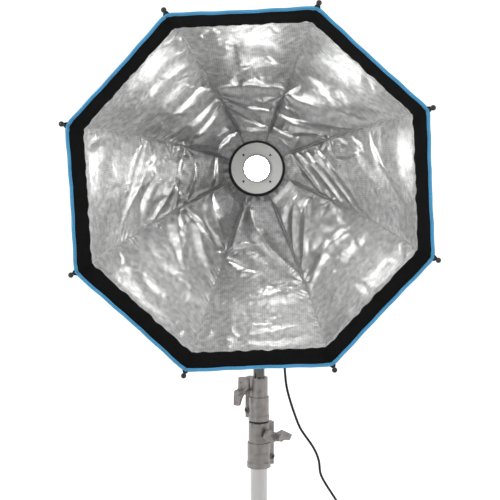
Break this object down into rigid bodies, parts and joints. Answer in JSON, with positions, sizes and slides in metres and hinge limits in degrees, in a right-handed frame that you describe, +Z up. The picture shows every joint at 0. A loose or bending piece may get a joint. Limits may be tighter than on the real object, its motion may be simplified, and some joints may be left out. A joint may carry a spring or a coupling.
{
  "type": "studio softbox",
  "caption": "Quick-opening octagonal softbox with a silver lining, on its LED light head and the riser column of a light stand.",
  "frame": {"origin": "centre of the lower end of the column's base tube, where it drops into the stand's base", "axes": "+Z up the column, -Y the way the softbox faces, +X to the right as seen from the front"},
  "size_m": [0.8884, 0.7152, 1.6592],
  "materials": {
    "tube_grey": "satin anodised tube",
    "cast_pewter": "cast alloy, bead-blasted",
    "dark_steel": "oiled steel",
    "cast_handle": "cast alloy, bead-blasted",
    "riser_chrome": "bright chrome-plated tube",
    "bush_black": "moulded",
    "bumper_black": "moulded rubber",
    "stud_steel": "turned steel",
    "bracket_black": "powder coat",
    "knob_black": "moulded",
    "housing_black": "fine texture paint",
    "cover_black": "fine texture",
    "bayonet_metal": "turned",
    "plate_ivory": "satin ivory enamel",
    "ring_grey": "satin",
    "lens_glass": "frosted, lit",
    "led_yellow": "phosphor on a white board",
    "sink_alloy": "mill finish",
    "fan_black": "moulded",
    "board_green": "circuit board",
    "display_dark": "dark display window",
    "cord_black": "moulded",
    "tie_black": "hook-and-loop strap",
    "plug_black": "moulded",
    "pin_brass": "nickel-plated",
    "ring_black": "anodised",
    "switch_black": "rocker",
    "rib_black": "black-coated spring rod with moulded ends",
    "canopy_fabric": "silver lining in a black shell"
  },
  "bodies": {
    "column": {"base_tube": "tube_grey", "lower_collar": "cast_pewter", "lower_collar_bolt": "dark_steel"},
    "lower_handle": {"lower_handle": "cast_handle"},
    "middle_riser": {"middle_riser": "riser_chrome", "middle_riser_bush": "bush_black", "upper_collar": "cast_pewter", "upper_collar_bolt": "dark_steel", "collar_bumper": "bumper_black"},
    "upper_handle": {"upper_handle": "cast_handle"},
    "top_riser": {"top_riser": "riser_chrome", "top_riser_bush": "bush_black", "riser_stud": "stud_steel"},
    "head": {"tilt_bracket": "bracket_black", "tilt_nut": "dark_steel"},
    "receiver_knob": {"receiver_knob": "knob_black"},
    "tilt_lever": {"tilt_lever": "knob_black"},
    "lamp": {"lamp_housing": "housing_black", "lamp_rear_cover": "cover_black", "lamp_foot": "bracket_black", "lamp_bayonet": "bayonet_metal", "front_plate": "plate_ivory", "front_plate_screws": "dark_steel", "lens_ring": "ring_grey", "glass_lens": "lens_glass", "led_chip": "led_yellow", "heat_sink": "sink_alloy", "fan_frame": "fan_black", "driver_board": "board_green", "display_window": "display_dark", "cable_gland": "cord_black", "power_cable": "cord_black", "cable_coil": "cord_black", "cable_tie": "tie_black", "cable_tail": "cord_black", "mains_plug": "plug_black", "plug_pins": "pin_brass", "insert_ring": "ring_black"},
    "dimmer_knob": {"dimmer_knob": "knob_black"},
    "power_switch": {"power_switch": "switch_black"},
    "bayonet_release": {"bayonet_release": "knob_black"},
    "fan_rotor": {"fan_rotor": "fan_black"},
    "softbox": {"speed_ring": "ring_black", "rib_hinge_pins": "dark_steel"},
    "rib_1": {"rib_1": "rib_black", "canopy_1": "canopy_fabric"},
    "rib_2": {"rib_2": "rib_black", "canopy_2": "canopy_fabric"},
    "rib_3": {"rib_3": "rib_black", "canopy_3": "canopy_fabric"},
    "rib_4": {"rib_4": "rib_black", "canopy_4": "canopy_fabric"},
    "rib_5": {"rib_5": "rib_black", "canopy_5": "canopy_fabric"},
    "rib_6": {"rib_6": "rib_black", "canopy_6": "canopy_fabric"},
    "rib_7": {"rib_7": "rib_black", "canopy_7": "canopy_fabric"},
    "rib_8": {"rib_8": "rib_black", "canopy_8": "canopy_fabric"}
  },
  "joints": [
    {"name": "middle_riser_slide", "type": "slide", "parent": "column", "child": "middle_riser", "axis": [0, 0, 1], "range_m": [0, 0.36]},
    {"name": "top_riser_slide", "type": "slide", "parent": "middle_riser", "child": "top_riser", "axis": [0, 0, 1], "range_m": [-0.34, 0.14]},
    {"name": "lower_handle_turn", "type": "hinge", "parent": "column", "child": "lower_handle", "pos_m": [0.02416, 0.01692, 0.4824], "axis": [0.5736, -0.8192, 0], "range_deg": [0, 270]},
    {"name": "upper_handle_turn", "type": "hinge", "parent": "middle_riser", "child": "upper_handle", "pos_m": [-0.02089, 0.01463, 0.6052], "axis": [-0.5736, -0.8192, 0], "range_deg": [0, 270]},
    {"name": "head_swivel", "type": "hinge", "parent": "top_riser", "child": "head", "pos_m": [0, 0, 1.06], "axis": [0, 0, 1], "continuous": true},
    {"name": "receiver_knob_turn", "type": "hinge", "parent": "head", "child": "receiver_knob", "pos_m": [0, 0.03, 1.06], "axis": [0, 1, 0], "range_deg": [0, 270]},
    {"name": "head_tilt", "type": "hinge", "parent": "head", "child": "lamp", "pos_m": [0, 0, 1.119], "axis": [1, 0, 0], "range_deg": [-60, 45]},
    {"name": "tilt_lever_turn", "type": "hinge", "parent": "head", "child": "tilt_lever", "pos_m": [-0.02, 0, 1.119], "axis": [1, 0, 0], "range_deg": [-70, 20]},
    {"name": "dimmer_turn", "type": "hinge", "parent": "lamp", "child": "dimmer_knob", "pos_m": [-0.03, 0.106, 1.233], "axis": [0, 1, 0], "range_deg": [-140, 140]},
    {"name": "power_rocker", "type": "hinge", "parent": "lamp", "child": "power_switch", "pos_m": [0.034, 0.1065, 1.193], "axis": [0, 0, 1], "range_deg": [-2, 12]},
    {"name": "bayonet_release_slide", "type": "slide", "parent": "lamp", "child": "bayonet_release", "axis": [0, 1, 0], "range_m": [0, 0.006], "stiffness_N_per_m": 400, "springref_m": -0.002},
    {"name": "fan_spin", "type": "hinge", "parent": "lamp", "child": "fan_rotor", "pos_m": [0, -0.036, 1.215], "axis": [0, 1, 0], "continuous": true},
    {"name": "softbox_turn", "type": "hinge", "parent": "lamp", "child": "softbox", "pos_m": [0, -0.16, 1.215], "axis": [0, -1, 0], "continuous": true},
    {"name": "rib_1_fold", "type": "hinge", "parent": "softbox", "child": "rib_1", "pos_m": [0.02839, -0.152, 1.29406], "axis": [0.9412, 0, -0.3379], "range_deg": [0, 38], "deforming": ["canopy_1"]},
    {"name": "rib_2_fold", "type": "hinge", "parent": "softbox", "child": "rib_2", "pos_m": [0.07597, -0.152, 1.25083], "axis": [0.4266, 0, -0.9045], "range_deg": [0, 38], "deforming": ["canopy_2"]},
    {"name": "rib_3_fold", "type": "hinge", "parent": "softbox", "child": "rib_3", "pos_m": [0.07906, -0.152, 1.18661], "axis": [-0.3379, 0, -0.9412], "range_deg": [0, 38], "deforming": ["canopy_3"]},
    {"name": "rib_4_fold", "type": "hinge", "parent": "softbox", "child": "rib_4", "pos_m": [0.03583, -0.152, 1.13903], "axis": [-0.9045, 0, -0.4266], "range_deg": [0, 38], "deforming": ["canopy_4"]},
    {"name": "rib_5_fold", "type": "hinge", "parent": "softbox", "child": "rib_5", "pos_m": [-0.02839, -0.152, 1.13594], "axis": [-0.9412, 0, 0.3379], "range_deg": [0, 38], "deforming": ["canopy_5"]},
    {"name": "rib_6_fold", "type": "hinge", "parent": "softbox", "child": "rib_6", "pos_m": [-0.07597, -0.152, 1.17917], "axis": [-0.4266, 0, 0.9045], "range_deg": [0, 38], "deforming": ["canopy_6"]},
    {"name": "rib_7_fold", "type": "hinge", "parent": "softbox", "child": "rib_7", "pos_m": [-0.07906, -0.152, 1.24338], "axis": [0.3379, 0, 0.9412], "range_deg": [0, 38], "deforming": ["canopy_7"]},
    {"name": "rib_8_fold", "type": "hinge", "parent": "softbox", "child": "rib_8", "pos_m": [-0.03583, -0.152, 1.29097], "axis": [0.9045, 0, 0.4266], "range_deg": [0, 38], "deforming": ["canopy_8"]}
  ],
  "couplings": [
    {"joint": "rib_2_fold", "follows": "rib_1_fold", "ratio": 1},
    {"joint": "rib_3_fold", "follows": "rib_1_fold", "ratio": 1},
    {"joint": "rib_4_fold", "follows": "rib_1_fold", "ratio": 1},
    {"joint": "rib_5_fold", "follows": "rib_1_fold", "ratio": 1},
    {"joint": "rib_6_fold", "follows": "rib_1_fold", "ratio": 1},
    {"joint": "rib_7_fold", "follows": "rib_1_fold", "ratio": 1},
    {"joint": "rib_8_fold", "follows": "rib_1_fold", "ratio": 1}
  ]
}
